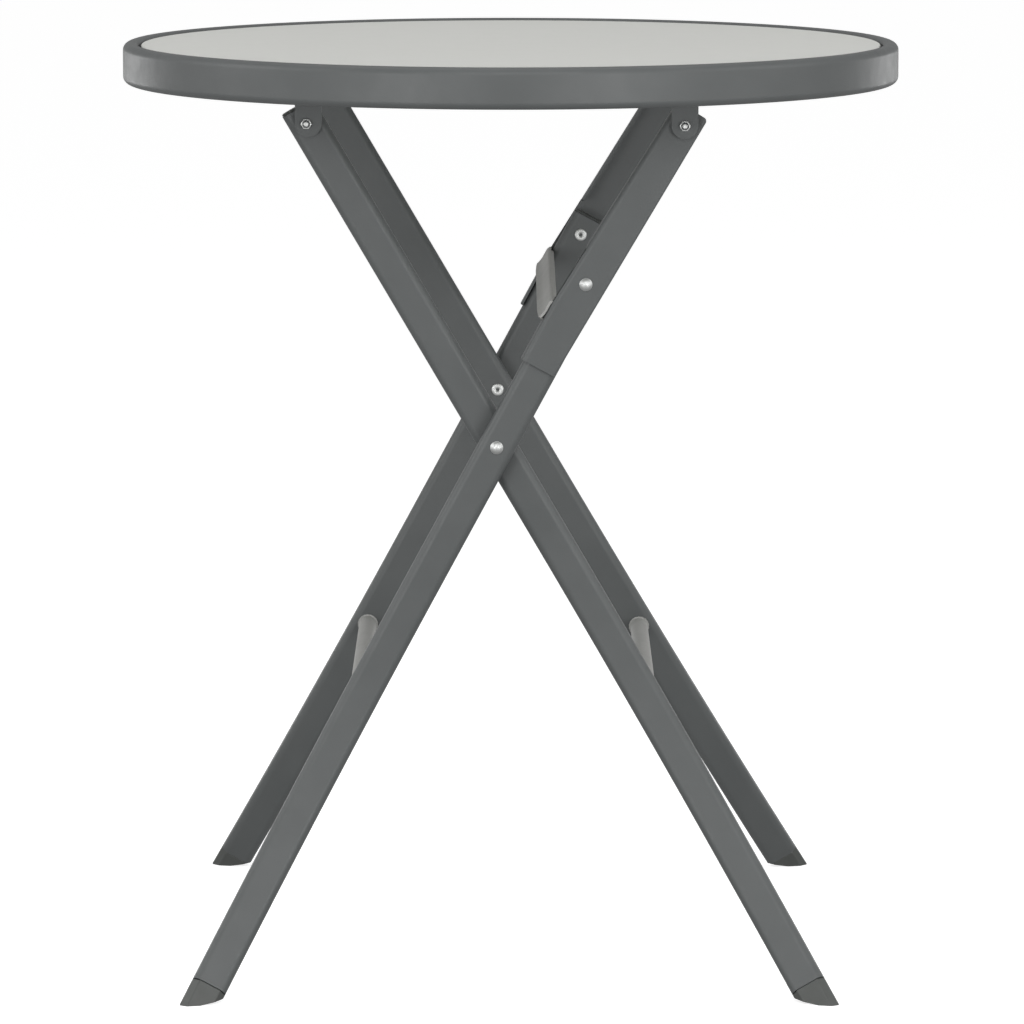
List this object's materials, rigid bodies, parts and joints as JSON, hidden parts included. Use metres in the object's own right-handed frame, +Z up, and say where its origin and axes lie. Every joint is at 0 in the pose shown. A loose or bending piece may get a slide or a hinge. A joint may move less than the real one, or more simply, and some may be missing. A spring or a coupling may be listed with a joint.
{
  "type": "bistro table",
  "caption": "Folding round side table: a glass top in a steel rim on two crossing frames of bowed tube legs, with a knee link that lets the top fold down.",
  "frame": {"origin": "on the floor under the middle of the top, at the bottom centre of the bounding box", "axes": "+Z up; X runs across the crossing frames, with the outer frame's feet on -X; Y runs along the pivot axes, front at -Y"},
  "size_m": [0.6, 0.6, 0.7],
  "materials": {
    "powder_coated_steel": "anthracite powder coat, satin, fine texture",
    "zinc_plated_steel": "bright zinc plating",
    "grey_plastic": "moulded, matte",
    "black_rubber": "soft, matte",
    "tempered_glass": "tempered, satin"
  },
  "bodies": {
    "inner_frame": {"inner_leg_front": "powder_coated_steel", "inner_leg_rear": "powder_coated_steel", "inner_leg_plug_front": "grey_plastic", "inner_leg_plug_rear": "grey_plastic", "inner_foot_front": "grey_plastic", "inner_foot_rear": "grey_plastic", "crossing_rivet_front": "zinc_plated_steel", "crossing_rivet_rear": "zinc_plated_steel", "crossing_spacer_front": "grey_plastic", "crossing_spacer_rear": "grey_plastic", "left_pivot_bolt_front": "zinc_plated_steel", "left_pivot_bolt_rear": "zinc_plated_steel", "inner_crossbar": "powder_coated_steel"},
    "outer_frame": {"outer_leg_front": "powder_coated_steel", "outer_leg_rear": "powder_coated_steel", "outer_leg_plug_front": "grey_plastic", "outer_leg_plug_rear": "grey_plastic", "outer_foot_front": "grey_plastic", "outer_foot_rear": "grey_plastic", "knee_rivet_front": "zinc_plated_steel", "knee_rivet_rear": "zinc_plated_steel", "outer_crossbar": "powder_coated_steel"},
    "upper_links": {"upper_link_front": "powder_coated_steel", "upper_link_rear": "powder_coated_steel", "knee_plate": "powder_coated_steel"},
    "top": {"rim_ring": "powder_coated_steel", "glass_panel": "tempered_glass", "glass_seal": "black_rubber", "left_rail": "powder_coated_steel", "right_rail": "powder_coated_steel", "left_ear_front": "powder_coated_steel", "left_ear_rear": "powder_coated_steel", "right_ear_front": "powder_coated_steel", "right_ear_rear": "powder_coated_steel", "left_glass_pad_front": "black_rubber", "left_glass_pad_rear": "black_rubber", "right_glass_pad_front": "black_rubber", "right_glass_pad_rear": "black_rubber", "left_pivot_bolt_end_front": "zinc_plated_steel", "left_pivot_bolt_end_rear": "zinc_plated_steel", "left_pivot_nut_front": "zinc_plated_steel", "left_pivot_nut_rear": "zinc_plated_steel", "right_pivot_bolt_front": "zinc_plated_steel", "right_pivot_bolt_rear": "zinc_plated_steel", "right_pivot_nut_front": "zinc_plated_steel", "right_pivot_nut_rear": "zinc_plated_steel", "right_pivot_washer_front": "zinc_plated_steel", "right_pivot_washer_rear": "zinc_plated_steel"}
  },
  "joints": [
    {"name": "crossing_fold", "type": "hinge", "parent": "inner_frame", "child": "outer_frame", "pos_m": [-0.0105, 0, 0.4085], "axis": [0, -1, 0], "range_deg": [0, 51]},
    {"name": "knee_fold", "type": "hinge", "parent": "outer_frame", "child": "upper_links", "pos_m": [0.05629, 0, 0.53175], "axis": [0, 1, 0], "range_deg": [0, 152.1]},
    {"name": "right_pivot_fold", "type": "hinge", "parent": "upper_links", "child": "top", "pos_m": [0.13, 0, 0.651], "axis": [0, -1, 0], "range_deg": [0, 53.7]}
  ],
  "couplings": [
    {"joint": "knee_fold", "follows": "crossing_fold", "ratio": 2.9814},
    {"joint": "right_pivot_fold", "follows": "crossing_fold", "ratio": 1.0525}
  ]
}
